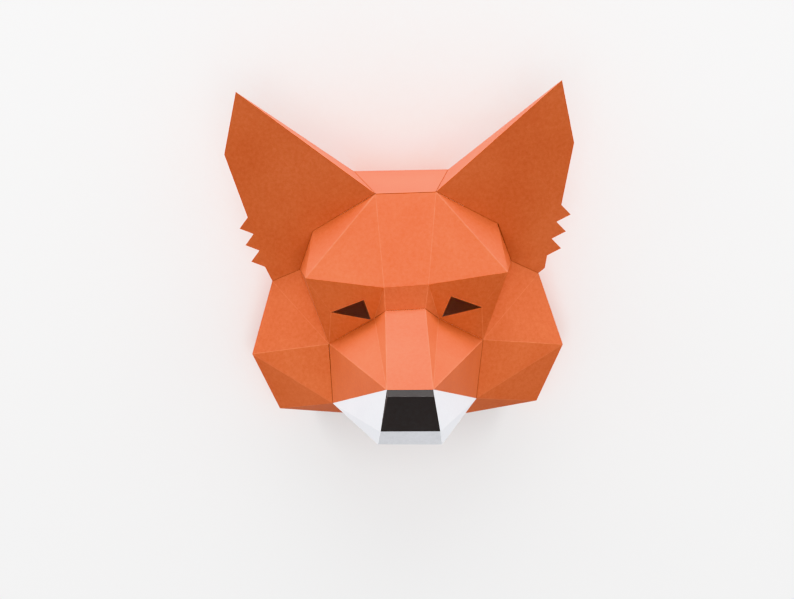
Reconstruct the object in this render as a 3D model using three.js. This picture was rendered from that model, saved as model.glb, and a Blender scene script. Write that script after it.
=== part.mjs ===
// Paper fox mask: a low-poly shell of folded card, open at the back and below.
// Millimetres. The mask lies on its back on the rim of its rear opening: +Z points up out of the face, +Y
// from the chin to the ears, and the middle plane is X = 0. The origin is on the table, under the middle of
// the mask's box.
import * as THREE from 'three';

// Driving dimensions
const WALL = 1;
const SEAM = 0.3;
const TABLE = 0;

// The cut fringe down the outer edge of an ear: each tooth has a notch above it and a tip
const FRINGE = {
  teeth: 3,
  firstNotch: { out: 153, up: 217.5 },
  pitch: { out: -4.8, up: -16.2 },
  tip: { out: 9, up: -10 },
};

// Corners of the right half: out from the middle plane, up the face from the chin's edge, and risen from the
// table. A row without "rise" lies in the flat front panel of the ear, which gives its place.
const CORNERS = {
  crownRear: { out: 47.5, up: 261, rise: TABLE },
  crownFront: { out: 29, up: 233.5, rise: 96 },
  browIn: { out: 21, up: 144, rise: 125 },
  browOut: { out: 96.5, up: 154.5, rise: 106 },
  earTip: { out: 155.5, up: 335, rise: 106 },
  earCorner: { out: 169, up: 277 },
  earRootMid: { out: 89.5, up: 201.5 },
  earRootLow: { out: 103.5, up: 165 },
  earRootOut: { out: 131, up: 153.5, rise: 40 },
  bridgeTop: { out: 19, up: 121.5, rise: 123 },
  bridgeEnd: { out: 21, up: 50, rise: 210 },
  eyeIn: { out: 30.5, up: 113.5, rise: 104 },
  eyeCorner: { out: 34, up: 113.5, rise: 103 },
  eyeTop: { out: 41.5, up: 132.5, rise: 112 },
  eyeOut: { out: 72, up: 121.5, rise: 96 },
  cheekIn: { out: 74.5, up: 90.5, rise: 77 },
  cheekOut: { out: 153, up: 82.5, rise: 38 },
  cheekLow: { out: 127, up: 27.5, rise: 27 },
  mouth: { out: 69.5, up: 33.5, rise: 72 },
  throat: { out: 40, up: 20.5, rise: 55 },
  noseTop: { out: 21, up: 44, rise: 216 },
  noseLow: { out: 27, up: 12.5, rise: 214 },
  chin: { out: 29, up: 0, rise: 202 },
  rimHigh: { out: 85, up: 163.5, rise: TABLE },
  rimWide: { out: 112, up: 84.5, rise: TABLE },
  rimLow: { out: 99, up: 33.5, rise: TABLE },
};
const MIDDLE = CORNERS.earTip.up / 2;

// The ear's back closes on the rear face of its front panel: these corners stop just short of it, each on
// the line from a corner of the front panel to the rear of the crown
const EAR_BACK_CORNERS = { tipBehind: 'earTip', cornerBehind: 'earCorner', rootBehind: 'earRootOut' };

const CARD = {
  orange: { color: 0xdf6f38, roughness: 0.85, metalness: 0 },
  white: { color: 0xeceef4, roughness: 0.8, metalness: 0 },
  black: { color: 0x2a2827, roughness: 0.7, metalness: 0 },
};

// Names of the fringe's corners from the ear's root up to its outer corner
const fringeUp = ['notch' + FRINGE.teeth];
for (let tooth = FRINGE.teeth - 1; tooth >= 0; tooth -= 1) {
  fringeUp.push('tooth' + tooth, 'notch' + tooth);
}

// Sheets of card. Each panel lists its corners anticlockwise as seen from outside, and "~" marks a corner of
// the left half. Middle panels cross the middle plane, and side panels are repeated on the left: in the same
// sheet, or in a sheet of its own where the sheet is one of a pair.
const SHEETS = [
  {
    name: 'crown',
    card: 'orange',
    middle: ['~crownFront crownFront crownRear ~crownRear'],
  },
  {
    name: 'forehead',
    card: 'orange',
    middle: ['~browIn browIn crownFront ~crownFront'],
    side: ['browIn browOut crownFront', 'browOut earRootMid crownFront', 'browOut earRootLow earRootMid'],
  },
  {
    name: 'eye_band',
    card: 'orange',
    middle: ['~bridgeTop bridgeTop browIn ~browIn'],
    side: [
      'bridgeTop eyeIn browIn',
      'eyeIn eyeCorner eyeTop eyeOut browOut browIn',
      'eyeIn cheekIn eyeOut eyeCorner',
      'cheekIn browOut eyeOut',
    ],
  },
  {
    name: 'muzzle',
    card: 'orange',
    middle: ['~bridgeEnd bridgeEnd bridgeTop ~bridgeTop'],
    side: ['bridgeEnd eyeIn bridgeTop', 'bridgeEnd cheekIn eyeIn', 'bridgeEnd mouth cheekIn'],
  },
  {
    name: 'nose',
    card: 'black',
    middle: ['~noseTop noseTop bridgeEnd ~bridgeEnd', '~noseLow noseLow noseTop ~noseTop'],
    side: ['noseLow bridgeEnd noseTop'],
  },
  {
    name: 'jaw',
    card: 'white',
    middle: ['~chin chin noseLow ~noseLow'],
    side: ['bridgeEnd noseLow mouth', 'noseLow chin mouth'],
  },
  {
    name: 'cheek',
    card: 'orange',
    pair: true,
    side: [
      'cheekIn earRootLow browOut',
      'cheekIn earRootOut earRootLow',
      'cheekIn cheekOut earRootOut',
      'mouth cheekOut cheekIn',
      'mouth cheekLow cheekOut',
      'throat cheekLow mouth',
    ],
  },
  {
    name: 'ear_front',
    card: 'orange',
    pair: true,
    side: [
      ['crownFront earRootMid earRootLow earRootOut', ...fringeUp, 'earCorner earTip'].join(' '),
      'crownFront earTip tipBehind',
      'crownFront tipBehind crownRear',
    ],
  },
  {
    name: 'ear_back',
    card: 'orange',
    pair: true,
    side: ['crownRear tipBehind cornerBehind', 'crownRear cornerBehind rootBehind'],
  },
  {
    name: 'side',
    card: 'orange',
    pair: true,
    side: [
      'crownRear rootBehind rimHigh',
      'rootBehind earRootOut rimHigh',
      'earRootOut cheekOut rimWide rimHigh',
      'cheekOut cheekLow rimLow rimWide',
    ],
  },
];

const mirrored = (corner) => (corner.startsWith('~') ? corner.slice(1) : '~' + corner);

// Places of all corners, both halves
function placeCorners() {
  const rows = { ...CORNERS };
  for (let tooth = 0; tooth <= FRINGE.teeth; tooth += 1) {
    const out = FRINGE.firstNotch.out + tooth * FRINGE.pitch.out;
    const up = FRINGE.firstNotch.up + tooth * FRINGE.pitch.up;
    rows['notch' + tooth] = { out, up };
    rows['tooth' + tooth] = { out: out + FRINGE.tip.out, up: up + FRINGE.tip.up };
  }
  const fixed = (name) => new THREE.Vector3(rows[name].out, rows[name].up - MIDDLE, rows[name].rise);
  const earPlane = new THREE.Plane().setFromCoplanarPoints(
    fixed('crownFront'), fixed('earRootOut'), fixed('earTip'));
  const { x, y, z } = earPlane.normal;
  const place = {};
  for (const [name, { out, up, rise }] of Object.entries(rows)) {
    const along = up - MIDDLE;
    const inEar = -(x * out + y * along + earPlane.constant) / z;
    place[name] = new THREE.Vector3(out, along, rise ?? inEar);
  }
  const crownDepth = earPlane.distanceToPoint(place.crownRear);
  for (const [name, edge] of Object.entries(EAR_BACK_CORNERS)) {
    place[name] = place[edge].clone().lerp(place.crownRear, (WALL + SEAM) / Math.abs(crownDepth));
  }
  for (const [name, point] of Object.entries(place)) {
    place['~' + name] = point.clone().setX(-point.x);
  }
  return { place, earNormal: earPlane.normal };
}
const { place, earNormal } = placeCorners();

// Outward unit normal of a panel
function panelNormal(corners) {
  const normal = new THREE.Vector3();
  corners.forEach((corner, index) => {
    const next = corners[(index + 1) % corners.length];
    normal.add(new THREE.Vector3().crossVectors(place[corner], place[next]));
  });
  return normal.normalize();
}

// Every piece of card with its panels, the pairs split into left and right
function listPieces() {
  const pieces = [];
  for (const { name, card, pair, middle = [], side = [] } of SHEETS) {
    const split = (text) => text.split(' ');
    const right = side.map(split);
    const left = right.map((corners) => corners.map(mirrored).reverse());
    if (pair) {
      pieces.push({ name: name + '_left', card, panels: left });
      pieces.push({ name: name + '_right', card, panels: right });
    } else {
      pieces.push({ name, card, panels: [...middle.map(split), ...right, ...left] });
    }
  }
  return pieces.map(({ panels, ...piece }) => (
    { ...piece, panels: panels.map((corners) => ({ corners, normal: panelNormal(corners) })) }));
}
const pieces = listPieces();
const allPanels = pieces.flatMap(({ panels }) => panels);

// Directed edges of a set of panels, each with its panel
function edgesOf(panels) {
  const edges = new Map();
  for (const panel of panels) {
    panel.corners.forEach((from, index) => {
      const to = panel.corners[(index + 1) % panel.corners.length];
      edges.set(from + '>' + to, { from, to, panel });
    });
  }
  return edges;
}

// Smallest shift that meets every rule: a reach along a direction, or more where the rule isn't exact
const SETTLE_ROUNDS = 400;
function settle(rules) {
  const shift = new THREE.Vector3();
  for (let round = 0; round < SETTLE_ROUNDS; round += 1) {
    for (const { along, reach, exact } of rules) {
      const lack = reach - shift.dot(along);
      if (exact || lack > 0) {
        shift.addScaledVector(along, lack);
      }
    }
  }
  return shift;
}

// Rules that keep a corner of the rim flush with the table, and one of the ear's back with its front panel
function flushRules(corner) {
  const name = corner.replace('~', '');
  const rules = [];
  if (name.startsWith('rim')) {
    rules.push({ along: new THREE.Vector3(0, 0, 1), reach: 0, exact: true });
  }
  if (name in EAR_BACK_CORNERS) {
    const along = earNormal.clone();
    along.x *= corner.startsWith('~') ? -1 : 1;
    rules.push({ along, reach: 0, exact: true });
  }
  return rules;
}

// Inner corners: each lies at least a wall behind every panel that meets there, so walls meet in mitres
const inward = {};
for (const corner of Object.keys(place)) {
  const rules = allPanels.filter(({ corners }) => corners.includes(corner))
    .map(({ normal }) => ({ along: normal.clone().negate(), reach: WALL, exact: false }));
  inward[corner] = settle([...rules, ...flushRules(corner)]);
}

// Triangles of a panel, as corner names, facing out
function panelTriangles({ corners, normal }) {
  const across = new THREE.Vector3().subVectors(place[corners[1]], place[corners[0]]).normalize();
  const along = new THREE.Vector3().crossVectors(normal, across);
  const outline = corners.map((corner) => (
    new THREE.Vector2(place[corner].dot(across), place[corner].dot(along))));
  const triangles = THREE.ShapeUtils.triangulateShape(outline, []);
  return triangles.map((indices) => indices.map((index) => corners[index]));
}

// One folded sheet as a closed solid: outer faces, inner faces and a rim along every edge that isn't a fold.
// Rims stand back by half the seam's gap at each corner where another sheet meets this one.
function sheetGeometry(panels) {
  const folds = edgesOf(panels);
  const rims = [...folds.values()].filter(({ from, to }) => !folds.has(to + '>' + from));
  const rules = {};
  for (const { from, to, panel } of rims) {
    const direction = new THREE.Vector3().subVectors(place[to], place[from]).normalize();
    const along = new THREE.Vector3().crossVectors(panel.normal, direction);
    for (const corner of [from, to]) {
      const shared = allPanels.some((other) => !panels.includes(other) && other.corners.includes(corner));
      rules[corner] = rules[corner] ?? flushRules(corner);
      rules[corner].push({ along, reach: shared ? SEAM / 2 : 0, exact: true });
    }
  }
  const vertices = [];
  const index = {};
  for (const corner of new Set(panels.flatMap(({ corners }) => corners))) {
    const outer = place[corner].clone().add(settle(rules[corner] ?? []));
    index[corner] = vertices.length;
    vertices.push(outer, outer.clone().add(inward[corner]));
  }
  const faces = [];
  for (const panel of panels) {
    for (const [a, b, c] of panelTriangles(panel)) {
      faces.push(index[a], index[b], index[c], index[c] + 1, index[b] + 1, index[a] + 1);
    }
  }
  for (const { from, to } of rims) {
    const [a, b, c, d] = [index[to], index[from], index[from] + 1, index[to] + 1];
    faces.push(...(from < to ? [a, b, c, a, c, d] : [a, b, d, b, c, d]));
  }
  const geometry = new THREE.BufferGeometry().setFromPoints(vertices);
  geometry.setIndex(faces);
  geometry.computeVertexNormals();
  return geometry;
}

const mask = new THREE.Group();
mask.name = 'paper_fox_mask';
for (const { name, card, panels } of pieces) {
  const material = new THREE.MeshStandardMaterial({ ...CARD[card], flatShading: true });
  const mesh = new THREE.Mesh(sheetGeometry(panels), material);
  mesh.name = name;
  mask.add(mesh);
}

export default mask;
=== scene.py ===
import math

import bpy
import numpy as np
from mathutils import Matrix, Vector
from mathutils.geometry import tessellate_polygon


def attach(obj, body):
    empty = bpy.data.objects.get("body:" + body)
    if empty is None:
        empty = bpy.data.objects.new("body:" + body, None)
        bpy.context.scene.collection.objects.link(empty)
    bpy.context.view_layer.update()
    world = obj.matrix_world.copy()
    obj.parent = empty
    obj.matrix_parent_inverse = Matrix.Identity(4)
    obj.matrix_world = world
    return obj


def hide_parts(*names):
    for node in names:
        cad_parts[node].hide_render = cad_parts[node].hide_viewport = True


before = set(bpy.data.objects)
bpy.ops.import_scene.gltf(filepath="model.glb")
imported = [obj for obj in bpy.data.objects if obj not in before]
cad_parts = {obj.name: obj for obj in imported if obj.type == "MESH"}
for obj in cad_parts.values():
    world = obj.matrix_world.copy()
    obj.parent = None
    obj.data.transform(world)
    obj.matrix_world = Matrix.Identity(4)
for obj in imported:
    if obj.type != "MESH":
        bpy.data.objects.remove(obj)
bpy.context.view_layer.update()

# Crown: the flat panel over the top of the head, cut from thin orange card with a soft felted face.
# Its edges are glued edge to edge to the forehead and the ears, and its rear edge lies on the table.
MM = 0.001
HALF_HEIGHT = 167.5
corner = {}


def pin(name, out, up, rise, lean=0.0, tilt=0.0):
    """A corner of the right half, and its twin of the left half under the same name after a ~. It is out
    from the middle plane, up the face from the chin less half the mask's height, and risen from the table,
    given in mm and kept in metres. Card cut by hand is never quite even: both twins lean sideways by lean,
    and the right one is higher up the face by tilt as the left one is lower."""
    corner[name] = np.array([out + lean, up + tilt - HALF_HEIGHT, rise]) * MM
    corner["~" + name] = np.array([-out + lean, up - tilt - HALF_HEIGHT, rise]) * MM


GRID_STEPS = 22


def triangle_grid(steps):
    """Points (i, j) of a triangle's grid with i + j up to steps, as shares of its three corners:
    1 - (i + j) / steps, i / steps and j / steps. Also the small faces between them."""
    i, j = np.meshgrid(np.arange(steps + 1), np.arange(steps + 1), indexing="ij")
    number = np.full(i.shape, -1)
    inside = i + j <= steps
    number[inside] = np.arange(inside.sum())
    i, j = i[inside], j[inside]
    shares = np.column_stack([steps - i - j, i, j]) / steps
    a, b = i[i + j < steps], j[i + j < steps]
    c, d = i[i + j < steps - 1], j[i + j < steps - 1]
    upright = np.column_stack([number[a, b], number[a + 1, b], number[a, b + 1]])
    inverted = np.column_stack([number[c + 1, d], number[c + 1, d + 1], number[c, d + 1]])
    return shares, np.concatenate([upright, inverted])


share, small_faces = triangle_grid(GRID_STEPS)


def crossed_sum(loop):
    """Twice a panel's area, along its normal: the sum of the cross products of its corners in turn."""
    return np.cross(loop, np.roll(loop, -1, axis=0)).sum(axis=0)


def unit(vector):
    """The vector, made one long."""
    return vector / np.linalg.norm(vector)


def distance_to_edge(points, start, end):
    """Distance of each point from the straight edge between two corners."""
    along = end - start
    reached = np.clip((points - start) @ along / (along @ along), 0, 1)
    return np.linalg.norm(points - start - reached[:, None] * along, axis=1)


BOW_SHARE = 0.002
BOW_RANGE = (-0.5, 1.0)
BOW_REACH = 0.35
RIPPLE = 0.025 * MM
RIPPLE_LENGTHS = (0.028, 0.043, 0.067)
chance = np.random.default_rng(11)


def bowed(points, loop, normal, height):
    """Moves a panel's points off its plane. The height is a gentle bow, by chance a small share of the
    panel's size where none is given, plus a few faint waves. Both are scaled by the product over the edges
    of 1 - exp(-distance / reach), brought to 1 at its highest, so the folds and cut edges stay straight."""
    size = math.sqrt(np.linalg.norm(crossed_sum(loop)) / 2)
    hold = np.ones(len(points))
    for start, end in zip(loop, np.roll(loop, -1, axis=0)):
        hold *= 1 - np.exp(-distance_to_edge(points, start, end) / (BOW_REACH * size))
    hold /= hold.max()
    if height is None:
        height = BOW_SHARE * size * chance.uniform(*BOW_RANGE)
    waves = np.zeros(len(points))
    for length in RIPPLE_LENGTHS:
        heading = unit(chance.normal(size=3))
        waves += np.sin(points @ heading * (2 * math.pi / length) + chance.uniform(0, 2 * math.pi))
    return points + ((height + RIPPLE * waves) * hold)[:, None] * normal


HALF_SEAM = 0.06 * MM
NEARLY_IN_LINE = 0.2


def cut_back(sides, opened):
    """Places of a sheet's corners. A corner on its rim moves in from each of its two cut edges by half a
    seam's gap, times the value in opened for that corner and the edge's other end. Two cut edges that are
    nearly in line move it as one. Sides holds the edges of all panels with the panels' normals, so a cut
    edge is one whose reverse is not there."""
    moves = {}
    for (start, end), normal in sides.items():
        if (end, start) not in sides:
            inwards = np.cross(normal, unit(corner[end] - corner[start]))
            for here, there in ((start, end), (end, start)):
                gap = opened.get((here, there), 1.0) * HALF_SEAM
                moves.setdefault(here, []).append((inwards, gap))
    place = {c: corner[c] for edge in sides for c in edge}
    for c, rows in moves.items():
        inwards, gaps = zip(*rows)
        place[c] = corner[c] + np.linalg.pinv(np.array(inwards), rcond=NEARLY_IN_LINE) @ np.array(gaps)
    return place


# Line widths: FOLD_LINE for the light line on folds, partly wear and partly painted highlight, and
# SEAM_SHADE_LINE for the dark line of painted shade in glued seams.
FOLD_LINE = 0.45 * MM
SEAM_SHADE_LINE = 0.4 * MM
FAR = 1000.0
# Where the dark line of painted shade runs along glued seams, and how wide, by the seam's end corners.
seam_shade_widths = {}


def edge_lines(names, three, sides, fold_widths):
    """Distance of a triangle's grid points from its three sides: the share of the corner across from a side,
    times that corner's height over it. It counts in widths of the light line on a fold, or on a cut edge
    that fold_widths names, partly wear and partly painted highlight, and in widths of the dark line of
    painted shade on a seam that seam_shade_widths names. It is FAR from a side with no such line."""
    fold, seam = np.full((len(share), 3), FAR), np.full((len(share), 3), FAR)
    for k in range(3):
        a, b = (k + 1) % 3, (k + 2) % 3
        side = three[b] - three[a]
        height = np.linalg.norm(np.cross(side, three[k] - three[a])) / np.linalg.norm(side)
        pair = frozenset((names[a].strip("~"), names[b].strip("~")))
        panels = ((names[a], names[b]) in sides) + ((names[b], names[a]) in sides)
        if panels == 2 or panels == 1 and pair in fold_widths:
            fold[:, k] = share[:, k] * height / (FOLD_LINE * fold_widths.get(pair, 1.0))
        elif panels == 1 and pair in seam_shade_widths:
            seam[:, k] = share[:, k] * height / (SEAM_SHADE_LINE * seam_shade_widths[pair])
    return fold[small_faces], seam[small_faces]


def widths(**lines):
    """Folds, cut edges or seams by their end corners, written corner_corner, with their lines' widths."""
    return {frozenset(key.split("_")): width for key, width in lines.items()}


FLAT_ANGLE = math.radians(3)


def keep_edges_crisp(mesh):
    """Shades the panels smooth up to their folds and rims. A rim is an edge with one face alone."""
    mesh.shade_smooth()
    mesh.set_sharp_from_angle(angle=FLAT_ANGLE)
    edge_of, sharp = np.empty(len(mesh.loops), np.int32), np.empty(len(mesh.edges), bool)
    mesh.loops.foreach_get("edge_index", edge_of)
    mesh.edges.foreach_get("use_edge_sharp", sharp)
    rims = np.bincount(edge_of, minlength=len(sharp)) == 1
    mesh.edges.foreach_set("use_edge_sharp", sharp | rims)


CARD = 0.6 * MM
WELD = 1e-6
WELD_SHIFT = math.pi / 7
SMALL_CUTS = ("notch", "tooth", "earStep")


def card_sheet(name, panels, fold_widths=None, opened=None, bows=None):
    """One folded sheet of card. Every panel is cut into triangles, each triangle is the grid of points
    share A + share B + share C of its corners, and the panel is bowed between its edges, apart from small
    cuts in them, by the height that bows gives for its number. Points that meet are welded, and the card
    gets its thickness inwards. The attributes fold and seam hold the distances that the painted lines
    follow:
    wear with painted highlight along folds, and painted shade along seams."""
    loops = [panel.split() for panel in panels]
    normals = [unit(crossed_sum(np.array([corner[c] for c in loop]))) for loop in loops]
    sides = {}
    for loop, normal in zip(loops, normals):
        for edge in zip(loop, loop[1:] + loop[:1]):
            sides[edge] = normal
    place = cut_back(sides, opened or {})
    points, faces, folds, seams = [], [], [], []
    for number, (loop, normal) in enumerate(zip(loops, normals)):
        outline = np.array([place[c] for c in loop])
        flat = []
        for trio in tessellate_polygon([[Vector(p) for p in outline]]):
            trio = list(trio)
            if crossed_sum(outline[trio]) @ normal < 0:
                trio.reverse()
            three = outline[trio]
            fold, seam = edge_lines([loop[k] for k in trio], three, sides, fold_widths or {})
            faces.append(small_faces + len(share) * len(faces))
            flat.append(share @ three)
            folds.append(fold)
            seams.append(seam)
        held = np.array([place[c] for c in loop if not c.strip("~").startswith(SMALL_CUTS)])
        points.append(bowed(np.concatenate(flat), held, normal, (bows or {}).get(number)))
    points, faces = np.concatenate(points), np.concatenate(faces)
    cells = np.floor(points / WELD + WELD_SHIFT).astype(np.int64)
    _, first, welded = np.unique(cells, axis=0, return_index=True, return_inverse=True)
    mesh = bpy.data.meshes.new(name)
    mesh.from_pydata(points[first].tolist(), [], welded.reshape(-1)[faces].tolist())
    for label, values in (("fold", folds), ("seam", seams)):
        layer = mesh.attributes.new(label, "FLOAT_VECTOR", "CORNER")
        layer.data.foreach_set("vector", np.concatenate(values).astype(np.float32).ravel())
    keep_edges_crisp(mesh)
    sheet = bpy.data.objects.new(name, mesh)
    bpy.context.collection.objects.link(sheet)
    wall = sheet.modifiers.new("thickness", "SOLIDIFY")
    wall.thickness = CARD
    wall.offset = -1
    wall.use_even_offset = True
    return sheet


def new_group(name, outputs):
    """A shared effect with the named values as its outputs, and its Object coordinates."""
    group = bpy.data.node_groups.new(name, "ShaderNodeTree")
    for label in outputs:
        group.interface.new_socket(label, in_out="OUTPUT", socket_type="NodeSocketFloat")
    where = group.nodes.new("ShaderNodeTexCoord").outputs["Object"]
    return group, group.nodes.new("NodeGroupOutput"), where


def noise(tree, where, scale, detail, roughness):
    """Soft random value around a half, with scale cells to a metre."""
    node = tree.nodes.new("ShaderNodeTexNoise")
    node.inputs["Scale"].default_value = scale
    node.inputs["Detail"].default_value = detail
    node.inputs["Roughness"].default_value = roughness
    tree.links.new(where, node.inputs["Vector"])
    return node.outputs["Fac"]


def ramp(tree, value, low, high, to_low, to_high, smooth=True):
    """Value carried from low and high to to_low and to_high, and held there beyond them."""
    node = tree.nodes.new("ShaderNodeMapRange")
    node.interpolation_type = "SMOOTHSTEP" if smooth else "LINEAR"
    for label, number in (("From Min", low), ("From Max", high), ("To Min", to_low), ("To Max", to_high)):
        node.inputs[label].default_value = number
    tree.links.new(value, node.inputs["Value"])
    return node.outputs["Result"]


def maths(tree, operation, a, b):
    """Two values, or a value and a number, joined by one operation."""
    node = tree.nodes.new("ShaderNodeMath")
    node.operation = operation
    for socket, value in zip(node.inputs, (a, b)):
        if isinstance(value, (int, float)):
            socket.default_value = value
        else:
            tree.links.new(value, socket)
    return node.outputs[0]


def blended(tree, a, b, share_of_a):
    """Share of a and the rest of b."""
    part_of_a = maths(tree, "MULTIPLY", a, share_of_a)
    return maths(tree, "ADD", part_of_a, maths(tree, "MULTIPLY", b, 1 - share_of_a))


def least_side(tree, label):
    """The smallest of the three distances that an attribute holds."""
    attribute = tree.nodes.new("ShaderNodeAttribute")
    attribute.attribute_name = label
    split = tree.nodes.new("ShaderNodeSeparateXYZ")
    tree.links.new(attribute.outputs["Vector"], split.inputs[0])
    first, second, third = split.outputs
    return maths(tree, "MINIMUM", maths(tree, "MINIMUM", first, second), third)


felt, felt_out, felt_where = new_group("felted card", ("Mottle", "Fibre", "Slow"))
mottle = noise(felt, felt_where, scale=300, detail=5, roughness=0.62)
fibre = noise(felt, felt_where, scale=1100, detail=4, roughness=0.7)
slow = noise(felt, felt_where, scale=13, detail=2, roughness=0.5)
for label, value in (("Mottle", mottle), ("Fibre", fibre), ("Slow", slow)):
    felt.links.new(value, felt_out.inputs[label])

# Lines painted along edges: a light line on folds and named cut edges, partly wear and partly painted
# highlight, broken into patches; and a dark line of painted shade along glued seams.
edges, edges_out, edges_where = new_group("wear and painted highlight on folds, painted shade in seams", ("Wear and painted highlight", "Seam"))
patches = noise(edges, edges_where, scale=160, detail=3, roughness=0.6)
patchy = ramp(edges, patches, low=0.35, high=0.65, to_low=0.45, to_high=1.0)
fold_wear_and_highlight = ramp(edges, least_side(edges, "fold"), low=0.0, high=1.0, to_low=1.0, to_high=0.0)
edges.links.new(maths(edges, "MULTIPLY", fold_wear_and_highlight, patchy), edges_out.inputs["Wear and painted highlight"])
# Painted shade along the seams, darkest at the cut edge.
seam_shade = ramp(edges, least_side(edges, "seam"), low=0.2, high=1.0, to_low=1.0, to_high=0.0)
edges.links.new(seam_shade, edges_out.inputs["Seam"])


def mixed(tree, factor, a, b):
    """Colour a, turned to colour b as far as the factor goes. A mix node has its colours at inputs 6 and 7
    and at output 2."""
    node = tree.nodes.new("ShaderNodeMix")
    node.data_type = "RGBA"
    tree.links.new(factor, node.inputs["Factor"])
    for socket, value in ((node.inputs[6], a), (node.inputs[7], b)):
        if isinstance(value, tuple):
            socket.default_value = (*value, 1)
        else:
            tree.links.new(value, socket)
    return node.outputs[2]


def placed(tree, group):
    """A shared effect's node in a material."""
    node = tree.nodes.new("ShaderNodeGroup")
    node.node_tree = group
    return node


FIBRE_SHARE = 0.4
SLOW_SHARE = 0.35
WEAR_AND_HIGHLIGHT_STRENGTH = 0.4
SEAM_SHADE_STRENGTH = 0.9
ROUGHNESS_SPREAD = 0.07
BUMP_STRENGTH = 0.55
BUMP_DEPTH = 0.25 * MM


def card(name, deep, pale, wear_and_highlight_tone, seam_shade_tone, roughness, specular):
    """Card with a felted face: its colour wanders between deep and pale, folds show wear_and_highlight_tone,
    a light line that is partly wear and partly painted highlight, glued seams show seam_shade_tone, a dark
    line of painted shade, and the fibres give the roughness and a fine bump."""
    material = bpy.data.materials.new(name)
    material.use_nodes = True
    tree = material.node_tree
    shader = tree.nodes["Principled BSDF"]
    grain, lines = placed(tree, felt), placed(tree, edges)
    blot = blended(tree, grain.outputs["Fibre"], grain.outputs["Mottle"], FIBRE_SHARE)
    tone = blended(tree, grain.outputs["Slow"], blot, SLOW_SHARE)
    paleness = ramp(tree, tone, low=0.34, high=0.66, to_low=0, to_high=1, smooth=False)
    colour = mixed(tree, paleness, deep, pale)
    # Wear with painted highlight along the folds, then painted shade along the seams.
    colour = mixed(tree, maths(tree, "MULTIPLY", lines.outputs["Wear and painted highlight"], WEAR_AND_HIGHLIGHT_STRENGTH), colour, wear_and_highlight_tone)
    colour = mixed(tree, maths(tree, "MULTIPLY", lines.outputs["Seam"], SEAM_SHADE_STRENGTH), colour, seam_shade_tone)
    tree.links.new(colour, shader.inputs["Base Color"])
    smooth, rough = roughness - ROUGHNESS_SPREAD, roughness + ROUGHNESS_SPREAD
    matt = ramp(tree, blot, low=0.3, high=0.7, to_low=smooth, to_high=rough)
    tree.links.new(matt, shader.inputs["Roughness"])
    bump = tree.nodes.new("ShaderNodeBump")
    bump.inputs["Strength"].default_value = BUMP_STRENGTH
    bump.inputs["Distance"].default_value = BUMP_DEPTH
    tree.links.new(blot, bump.inputs["Height"])
    tree.links.new(bump.outputs["Normal"], shader.inputs["Normal"])
    shader.inputs["Specular IOR Level"].default_value = specular
    return material


# The light fold tone is partly wear and partly painted highlight; the near-black seam tone is painted shade.
orange_card = card(
    "orange card", deep=(0.500, 0.105, 0.040), pale=(0.603, 0.164, 0.070), wear_and_highlight_tone=(0.80, 0.30, 0.15),
    seam_shade_tone=(0.06, 0.010, 0.004), roughness=0.55, specular=0.12)

CROWN_FRONT = (29, 233.5, 96)
pin("crownRear", 47.5, 261, 0, lean=-0.6, tilt=-0.7)
pin("crownFront", *CROWN_FRONT, lean=2.8)
seam_shade_widths.update(widths(crownFront_crownRear=2.6, crownFront_crownFront=2.2))
crown = card_sheet("crown", ["~crownFront crownFront crownRear ~crownRear"])
crown.data.materials.append(orange_card)
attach(crown, "root")
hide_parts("crown")

# Forehead: one sheet of orange card folded into a middle panel, two brow panels and two temples a side.
# It is glued under the crown and along the roots of the ears, and its lower edge overhangs the eyes.
EAR_TIP = (155.5, 335, 106)
EAR_ROOT_OUT = (131, 153.5, 40)
ear_normal = np.cross(np.subtract(EAR_TIP, CROWN_FRONT), np.subtract(EAR_ROOT_OUT, CROWN_FRONT))


def pin_in_ear(name, out, up, lean=0.0, tilt=0.0):
    """A corner in the flat front of the ear, the plane through the crown's front corner, the ear's tip and
    its outer root. The way to it from the first is square to the plane's normal, which gives its rise."""
    across = (out - CROWN_FRONT[0]) * ear_normal[0] + (up - CROWN_FRONT[1]) * ear_normal[1]
    pin(name, out, up, CROWN_FRONT[2] - across / ear_normal[2], lean, tilt)


pin("browIn", 21, 144, 125, lean=0.2, tilt=0.8)
pin("browOut", 96.5, 154.5, 106, lean=0.9, tilt=-0.4)
pin_in_ear("earRootMid", 89.5, 201.5, lean=1.2, tilt=0.7)
pin_in_ear("earRootLow", 103.5, 165, lean=0.5, tilt=0.8)


def twins(panels):
    """The left half's panels for those of the right half, with corners in reverse so that they face out."""
    return [" ".join("~" + c for c in reversed(panel.split())) for panel in panels]


def both_sides(panels):
    """Panels of the right half and their twins."""
    return panels + twins(panels)


seam_shade_widths.update(widths(crownFront_earRootMid=0.4, earRootMid_earRootLow=0.5, earRootLow_browOut=0.5))
# The fold widths set how far the light line of wear and painted highlight runs, widest on the fold beside
# the temple.
forehead = card_sheet(
    "forehead",
    ["~browIn browIn crownFront ~crownFront"] + both_sides([
        "browIn browOut crownFront", "browOut earRootMid crownFront", "browOut earRootLow earRootMid"]),
    widths(crownFront_browOut=3.0, crownFront_browIn=1.0, browOut_earRootMid=0.8))
forehead.data.materials.append(orange_card)
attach(forehead, "root")
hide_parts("forehead")

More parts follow.
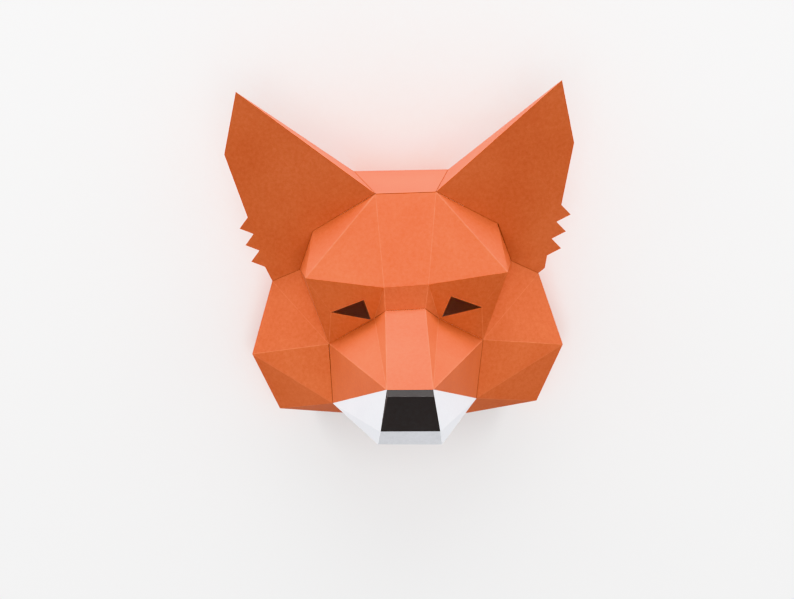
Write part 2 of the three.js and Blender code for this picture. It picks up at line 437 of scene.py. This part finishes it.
# Eye band: the sheet of orange card below the brow, folded back around each eye hole and over the bridge.
# The eye holes are triangles cut clean through it, open to the hollow for the head.
pin("bridgeTop", 19, 121.5, 123, lean=-1.4, tilt=0.4)
pin("eyeIn", 30.5, 113.5, 104, lean=-0.5, tilt=-1.0)
pin("eyeCorner", 34, 113.5, 103, lean=-0.5, tilt=0.4)
pin("eyeTop", 41.5, 132.5, 112, lean=1.0, tilt=0.3)
pin("eyeOut", 72, 121.5, 96, lean=-0.3)
pin("cheekIn", 74.5, 90.5, 77, lean=-1.7, tilt=-0.4)
seam_shade_widths.update(widths(bridgeTop_bridgeTop=0.4, bridgeTop_eyeIn=0.7))
# The cut rims of the eye holes carry the same light line, partly wear and partly painted highlight.
EYE_HOLE = widths(eyeCorner_eyeTop=1.6, eyeTop_eyeOut=1.6, eyeOut_eyeCorner=1.6)
EYE_FOLDS = widths(bridgeTop_browIn=1.4, cheekIn_eyeOut=1.2, eyeOut_browOut=0.4)
eye_band = card_sheet(
    "eye_band",
    ["~bridgeTop bridgeTop browIn ~browIn"] + both_sides([
        "bridgeTop eyeIn browIn",
        "eyeIn eyeCorner eyeTop eyeOut browOut browIn",
        "eyeIn cheekIn eyeOut eyeCorner",
        "cheekIn browOut eyeOut"]),
    EYE_HOLE | EYE_FOLDS)
eye_band.data.materials.append(orange_card)
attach(eye_band, "root")
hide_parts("eye_band")

# Muzzle: one sheet of orange card folded over the bridge of the nose, with three panels down each side.
# It is glued to the eye band behind and to the cheeks, where the left seam gapes a little at its upper end.
# The nose and the jaw close its front end.
pin("bridgeEnd", 21, 50, 210, tilt=-0.6)
pin("mouth", 69.5, 33.5, 72, lean=-5.0)
seam_shade_widths.update(widths(cheekIn_mouth=0.8))
muzzle = card_sheet(
    "muzzle",
    ["~bridgeEnd bridgeEnd bridgeTop ~bridgeTop"] + both_sides([
        "bridgeEnd eyeIn bridgeTop", "bridgeEnd cheekIn eyeIn", "bridgeEnd mouth cheekIn"]),
    widths(bridgeEnd_bridgeTop=1.8, bridgeEnd_eyeIn=1.3, bridgeEnd_cheekIn=2.2),
    opened={("~cheekIn", "~mouth"): 7.0})
muzzle.data.materials.append(orange_card)
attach(muzzle, "root")
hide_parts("muzzle")

# Nose: a small cap of matt black card, bent over the end of the muzzle with a narrow bevel along its top.
# Its side flaps are glued to the jaw.
pin("noseTop", 21, 44, 216, lean=0.4, tilt=-0.6)
pin("noseLow", 27, 12.5, 214, lean=-0.9, tilt=-0.8)
nose = card_sheet(
    "nose",
    ["~noseTop noseTop bridgeEnd ~bridgeEnd", "~noseLow noseLow noseTop ~noseTop"]
    + both_sides(["noseLow bridgeEnd noseTop"]))
# The light fold tone is partly wear and partly painted highlight; the seam tone is painted shade.
black_card = card(
    "black card", deep=(0.010, 0.0075, 0.0075), pale=(0.029, 0.0235, 0.0225), wear_and_highlight_tone=(0.16, 0.14, 0.14),
    seam_shade_tone=(0.05, 0.045, 0.045), roughness=0.58, specular=0.3)
nose.data.materials.append(black_card)
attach(nose, "root")
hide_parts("nose")

# Jaw: white card under the muzzle, with a lip panel and a chin panel down each side and a narrow front.
# Its long upper edges are glued under the muzzle, and its lower edge is left open for the throat.
pin("chin", 29, 0, 202, lean=-1.7, tilt=-1.0)
jaw = card_sheet(
    "jaw",
    ["~chin chin noseLow ~noseLow"] + both_sides(["bridgeEnd noseLow mouth", "noseLow chin mouth"]))
# The light fold tone is partly wear and partly painted highlight; the grey seam tone is painted shade.
white_card = card(
    "white card", deep=(0.61, 0.62, 0.655), pale=(0.75, 0.76, 0.795), wear_and_highlight_tone=(0.97, 0.97, 0.98),
    seam_shade_tone=(0.5, 0.48, 0.48), roughness=0.62, specular=0.5)
jaw.data.materials.append(white_card)
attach(jaw, "root")
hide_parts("jaw")

# Cheeks: two mirrored sheets of orange card, each folded into a fan of panels from the temple to the jaw.
# Each is glued to the eye band, the muzzle and the ear's root, and a narrow strip turns in under it.
pin("earRootOut", *EAR_ROOT_OUT, tilt=-0.5)
pin("cheekOut", 153, 82.5, 38, lean=-0.3, tilt=-0.4)
pin("cheekLow", 127, 27.5, 27, lean=-1.4, tilt=-0.4)
pin("throat", 40, 18.5, 55, tilt=-2.0)
CHEEK = [
    "cheekIn earRootLow browOut", "cheekIn earRootOut earRootLow", "cheekIn cheekOut earRootOut",
    "mouth cheekOut cheekIn", "mouth cheekLow cheekOut", "throat cheekLow mouth"]
CHEEK_FOLDS = widths(
    cheekOut_cheekIn=1.5, earRootOut_cheekIn=0.7, earRootLow_cheekIn=0.6, cheekOut_mouth=0.6)
seam_shade_widths.update(widths(earRootLow_earRootOut=0.45))
for node, panels in (("cheek_right", CHEEK), ("cheek_left", twins(CHEEK))):
    cheek = card_sheet(node, panels, CHEEK_FOLDS)
    cheek.data.materials.append(orange_card)
    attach(cheek, "root")
    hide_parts(node)

# Ears: each has a large flat front of orange card with a cut fringe down its outer edge and a strip folded
# back along its top, and a second sheet that closes it behind. Both are glued to the crown, and the right
# ear's seam gapes a little at its root.
pin("earTip", *EAR_TIP, lean=-0.4, tilt=0.4)
pin_in_ear("earCorner", 169, 277, lean=-2.0)
pin_in_ear("earStep", 135, 157.7, lean=2.3)
TEETH = 3
FIRST_NOTCH_OUT, FIRST_NOTCH_UP = 153, 217.5
PITCH_OUT, PITCH_UP = -4.8, -16.2
TOOTH_OUT, TOOTH_UP = 9, -10
for row in range(TEETH + 1):
    notch_out, notch_up = FIRST_NOTCH_OUT + row * PITCH_OUT, FIRST_NOTCH_UP + row * PITCH_UP
    pin_in_ear("notch%d" % row, notch_out, notch_up, lean=1.2, tilt=1.0)
    if row < TEETH:
        pin_in_ear("tooth%d" % row, notch_out + TOOTH_OUT, notch_up + TOOTH_UP, lean=1.5, tilt=1.5)
BACK_SET_IN = 0.012
for behind, edge in (("tipBehind", "earTip"), ("cornerBehind", "earCorner"), ("rootBehind", "earRootOut")):
    for half in ("", "~"):
        to_crown = corner[half + "crownRear"] - corner[half + edge]
        corner[half + behind] = corner[half + edge] + BACK_SET_IN * to_crown
FRINGE = " ".join(["notch%d" % TEETH] + ["tooth%d notch%d" % (row, row) for row in reversed(range(TEETH))])
EAR_FRONT = [
    "crownFront earRootMid earRootLow earRootOut earStep %s earCorner earTip" % FRINGE,
    "crownFront earTip tipBehind crownRear"]
EAR_BACK = ["crownRear tipBehind cornerBehind", "crownRear cornerBehind rootBehind"]
EAR_FOLDS = widths(crownFront_earTip=1.0)
EAR_OPENED = {("earRootMid", "earRootLow"): 9.0}
EAR_BOWS = {0: 0.4 * MM}
for stem, ear_panels, bows in (("ear_front", EAR_FRONT, EAR_BOWS), ("ear_back", EAR_BACK, None)):
    for side, panels in (("right", ear_panels), ("left", twins(ear_panels))):
        node = "%s_%s" % (stem, side)
        ear = card_sheet(node, panels, EAR_FOLDS, EAR_OPENED, bows)
        ear.data.materials.append(orange_card)
        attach(ear, "root")
        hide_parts(node)

# Sides: a sheet of orange card a side runs back from the cheek and the ear's root to the open rear rim.
# The mask lies on this rim, and the head goes in between the two.
pin("rimHigh", 85, 163.5, 0)
pin("rimWide", 112, 84.5, 0)
pin("rimLow", 99, 33.5, 0)
SIDE = [
    "crownRear rootBehind rimHigh", "rootBehind earRootOut rimHigh",
    "earRootOut cheekOut rimWide rimHigh", "cheekOut cheekLow rimLow rimWide"]
for node, panels in (("side_right", SIDE), ("side_left", twins(SIDE))):
    side_sheet = card_sheet(node, panels)
    side_sheet.data.materials.append(orange_card)
    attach(side_sheet, "root")
    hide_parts(node)

# Table: a plain pale surface that the mask lies on, matt and very slightly uneven in tone.
# It is a hair lower than the rear rim, so that the inner edge of the card clears it.
TABLE_HALF = 6.0
TABLE_DROP = 0.2 * MM
TABLE_DEEP = (0.88, 0.88, 0.88)
TABLE_PALE = (0.895, 0.895, 0.895)
table_mesh = bpy.data.meshes.new("table")
square = np.array([(-1, -1, 0), (1, -1, 0), (1, 1, 0), (-1, 1, 0)]) * TABLE_HALF - (0, 0, TABLE_DROP)
table_mesh.from_pydata(square.tolist(), [], [(0, 1, 2, 3)])
table = bpy.data.objects.new("table", table_mesh)
bpy.context.collection.objects.link(table)
table_paint = bpy.data.materials.new("pale table")
table_paint.use_nodes = True
table_tree = table_paint.node_tree
table_where = table_tree.nodes.new("ShaderNodeTexCoord").outputs["Object"]
table_clouds = noise(table_tree, table_where, scale=3, detail=2, roughness=0.5)
table_paleness = ramp(table_tree, table_clouds, low=0.3, high=0.7, to_low=0, to_high=1)
table_shader = table_tree.nodes["Principled BSDF"]
table_colour = mixed(table_tree, table_paleness, TABLE_DEEP, TABLE_PALE)
table_tree.links.new(table_colour, table_shader.inputs["Base Color"])
table_shader.inputs["Roughness"].default_value = 0.9
table_shader.inputs["Specular IOR Level"].default_value = 0.1
table_mesh.materials.append(table_paint)


# Light: large soft boxes beyond the ears, at both sides and over the chin, as in a plain studio.
# A dim, even white surround fills the shadows.
def soft_box(name, place, aim, size, watts):
    """A rectangular lamp at a place in metres, facing its aim."""
    lamp = bpy.data.lights.new(name, "AREA")
    lamp.shape = "RECTANGLE"
    lamp.size, lamp.size_y = size
    lamp.energy = watts
    box = bpy.data.objects.new(name, lamp)
    box.location = place
    box.rotation_euler = (Vector(aim) - Vector(place)).to_track_quat("-Z", "Y").to_euler()
    bpy.context.collection.objects.link(box)


soft_box("box beyond the ears", place=(0.0, 1.6, 0.4), aim=(0, 0, 0.12), size=(3.6, 0.8), watts=90)
soft_box("box at the left", place=(-1.55, 0.6, 0.6), aim=(0, 0, 0.1), size=(1.2, 1.0), watts=12)
soft_box("box at the right", place=(1.55, 0.6, 0.6), aim=(0, 0, 0.1), size=(1.2, 1.0), watts=12)
soft_box("box over the chin", place=(0.0, -1.0, 2.6), aim=(0, 0, 0.1), size=(2.0, 1.0), watts=57)
SURROUND_STRENGTH = 0.15
surround = bpy.data.worlds.new("surround")
surround.use_nodes = True
surround.node_tree.nodes["Background"].inputs["Color"].default_value = (1, 1, 1, 1)
surround.node_tree.nodes["Background"].inputs["Strength"].default_value = SURROUND_STRENGTH
bpy.context.scene.world = surround
bpy.context.scene.view_settings.view_transform = "Khronos PBR Neutral"

# Camera: straight over the face, 2.1 m above the table, so that the mask is seen from the front.
# It is turned a little, as the mask leans in the frame, and a pixel is 0.95 mm wide at 2 m from the lens.
CAMERA_PLACE = (-0.009, -0.0358, 2.110)
CAMERA_TURN = math.radians(-1.93)
SENSOR_WIDTH = 36
IMAGE_WIDTH = 794
MM_PER_PIXEL = 0.95
LENS_DISTANCE = 2000
camera_data = bpy.data.cameras.new("camera")
camera_data.sensor_width = SENSOR_WIDTH
camera_data.lens = LENS_DISTANCE / MM_PER_PIXEL * SENSOR_WIDTH / IMAGE_WIDTH
camera = bpy.data.objects.new("camera", camera_data)
camera.location = CAMERA_PLACE
camera.rotation_euler = (0, 0, CAMERA_TURN)
bpy.context.collection.objects.link(camera)
bpy.context.scene.camera = camera
